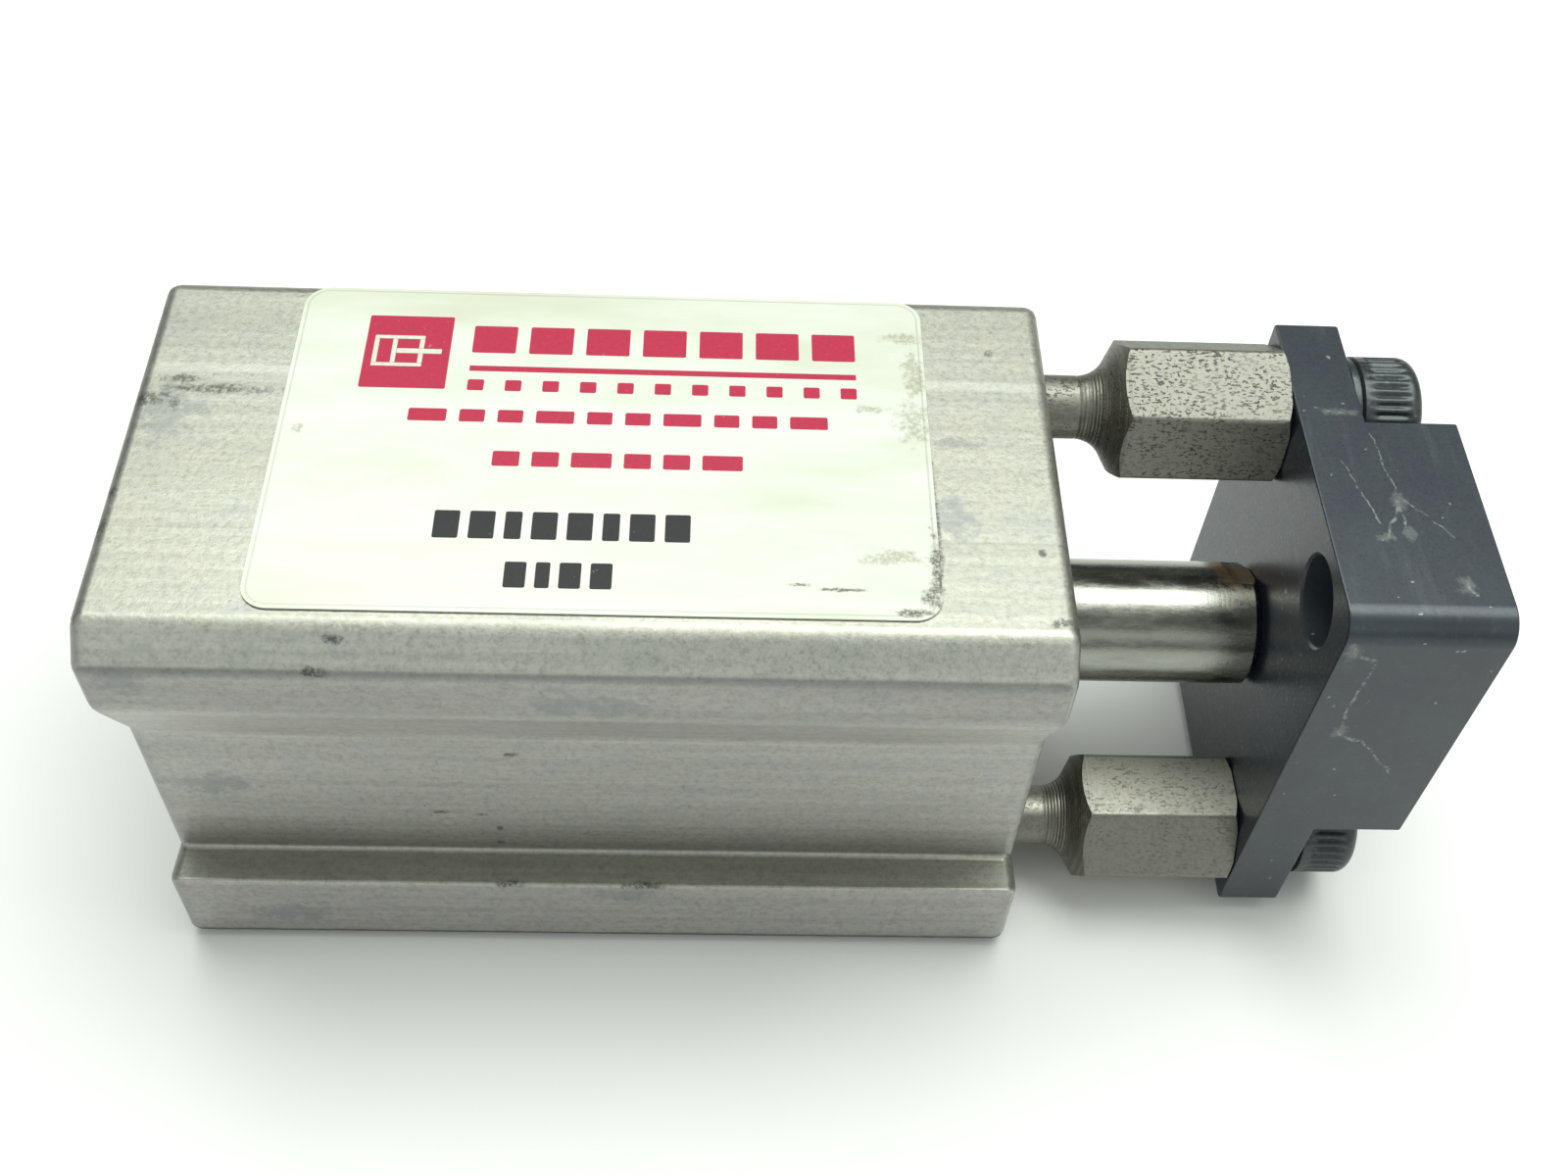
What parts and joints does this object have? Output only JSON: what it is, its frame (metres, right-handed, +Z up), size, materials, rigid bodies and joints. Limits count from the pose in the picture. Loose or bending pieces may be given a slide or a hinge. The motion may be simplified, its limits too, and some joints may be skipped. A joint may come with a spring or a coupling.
{
  "type": "guided pneumatic cylinder",
  "caption": "Compact guided air cylinder: grooved aluminium body, central piston rod, guide rods and a stepped tooling plate that slides out.",
  "frame": {"origin": "centre of the body's flat base", "axes": "+X along the rods, from the closed rear end towards the tooling plate; +Z up out of the labelled face; +Y towards the side with the air ports"},
  "size_m": [0.0788, 0.03, 0.0332],
  "materials": {
    "clear_anodised_aluminium": "bead-blasted, clear anodised, handled",
    "machined_aluminium": "turned",
    "dark_blue_anodised_aluminium": "dark blue-black anodised, semi-gloss, scratched",
    "ground_steel": "ground and polished",
    "turned_steel": "turned and milled, lightly pitted",
    "black_oxide_steel": "black oxide, satin",
    "spring_steel": "phosphated",
    "sintered_bronze": "matte, oil filled",
    "nitrile_rubber": "matte black",
    "urethane": "translucent amber, satin",
    "label_film": "clear-coated, slightly yellowed"
  },
  "bodies": {
    "housing": {"body_extrusion": "clear_anodised_aluminium", "label": "label_film", "rear_head": "machined_aluminium", "rear_head_o_ring": "nitrile_rubber", "rear_retaining_ring": "spring_steel", "rear_bumper": "urethane", "front_head": "machined_aluminium", "front_head_o_ring": "nitrile_rubber", "front_retaining_ring": "spring_steel", "front_bumper": "urethane", "rod_bushing": "sintered_bronze", "rod_seal": "nitrile_rubber", "rod_wiper": "nitrile_rubber", "upper_guide_bushing_rear": "sintered_bronze", "upper_guide_bushing_front": "sintered_bronze", "lower_guide_bushing_rear": "sintered_bronze", "lower_guide_bushing_front": "sintered_bronze"},
    "carriage": {"piston": "machined_aluminium", "piston_seal": "nitrile_rubber", "piston_nut": "spring_steel", "piston_rod": "ground_steel", "tooling_plate": "dark_blue_anodised_aluminium", "rod_screw": "black_oxide_steel", "upper_guide_rod": "turned_steel", "lower_guide_rod": "turned_steel", "upper_screw_washer": "black_oxide_steel", "lower_screw_washer": "black_oxide_steel", "upper_guide_screw": "black_oxide_steel", "lower_guide_screw": "black_oxide_steel"}
  },
  "joints": [
    {"name": "rod_slide", "type": "slide", "parent": "housing", "child": "carriage", "axis": [1, 0, 0], "range_m": [0, 0.0127]}
  ]
}
